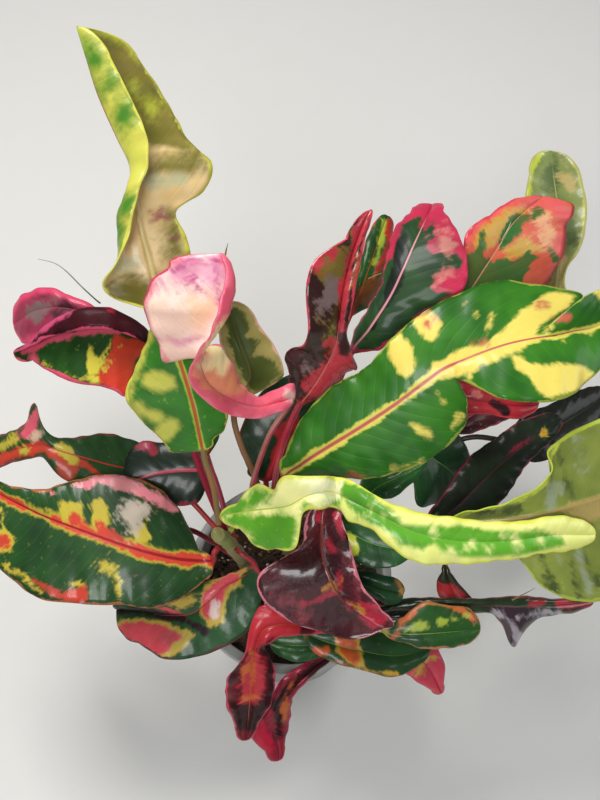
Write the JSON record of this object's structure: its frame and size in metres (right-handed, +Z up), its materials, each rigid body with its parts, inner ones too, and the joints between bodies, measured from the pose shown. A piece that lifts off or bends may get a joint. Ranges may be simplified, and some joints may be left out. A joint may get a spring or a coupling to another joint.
{
  "type": "potted croton",
  "caption": "Croton house plant with broad, curled, many-coloured leaves on short woody stems, standing in a tapered plastic nursery pot.",
  "frame": {"origin": "centre of the pot's flat underside", "axes": "+Z up; +Y away from the viewer of the picture; +X to the viewer's right"},
  "size_m": [0.3971, 0.3376, 0.3948],
  "materials": {
    "pot": "light grey, slightly worn",
    "soil": "dark peat with light bits",
    "bark": "grey-brown bark with leaf scars",
    "leaf_yellow_green": "glossy leaf, yellow and green patches",
    "leaf_pink": "glossy leaf, cream and pink",
    "leaf_green": "glossy leaf, green with yellow patches and a red rib",
    "leaf_olive": "satin underside, olive",
    "leaf_coral": "satin leaf, coral red and green",
    "leaf_red": "glossy leaf, crimson",
    "leaf_maroon": "glossy leaf, maroon to near black"
  },
  "bodies": {
    "root": {"pot": "pot", "soil": "soil", "stem_left": "bark", "stem_middle": "bark", "stem_right": "bark", "stem_back": "bark", "leaf_spire": "leaf_yellow_green", "leaf_scoop": "leaf_pink", "leaf_olive_back": "leaf_olive", "leaf_boat": "leaf_green", "leaf_ear": "leaf_red", "leaf_ribbon": "leaf_yellow_green", "leaf_broad_green": "leaf_green", "leaf_olive_right": "leaf_olive", "leaf_olive_far": "leaf_olive", "leaf_coral": "leaf_coral", "leaf_crimson_edge": "leaf_maroon", "leaf_narrow": "leaf_olive", "leaf_bronze": "leaf_maroon", "leaf_red_rib": "leaf_green", "leaf_dark_under": "leaf_green", "leaf_mid_green": "leaf_green", "leaf_pink_rib_dark": "leaf_maroon", "leaf_spotted_dark": "leaf_maroon", "leaf_red_under": "leaf_red", "leaf_broad_left": "leaf_green", "leaf_spiked": "leaf_green", "leaf_pink_rib": "leaf_green", "leaf_split_tip": "leaf_green", "leaf_maroon_hood": "leaf_maroon", "leaf_red_fall": "leaf_red", "leaf_red_drop": "leaf_red", "leaf_small_front": "leaf_green", "leaf_orange_patch": "leaf_green", "leaf_red_tip": "leaf_red", "leaf_dotted": "leaf_green", "leaf_long_dark": "leaf_maroon", "leaf_little_peak": "leaf_red", "leaf_little_green": "leaf_green", "leaf_yellow_spot": "leaf_green", "leaf_shade_back": "leaf_green", "leaf_shade_right": "leaf_green", "leaf_shade_far": "leaf_green", "leaf_shade_left": "leaf_green", "leaf_shade_low": "leaf_green"}
  },
  "joints": []
}
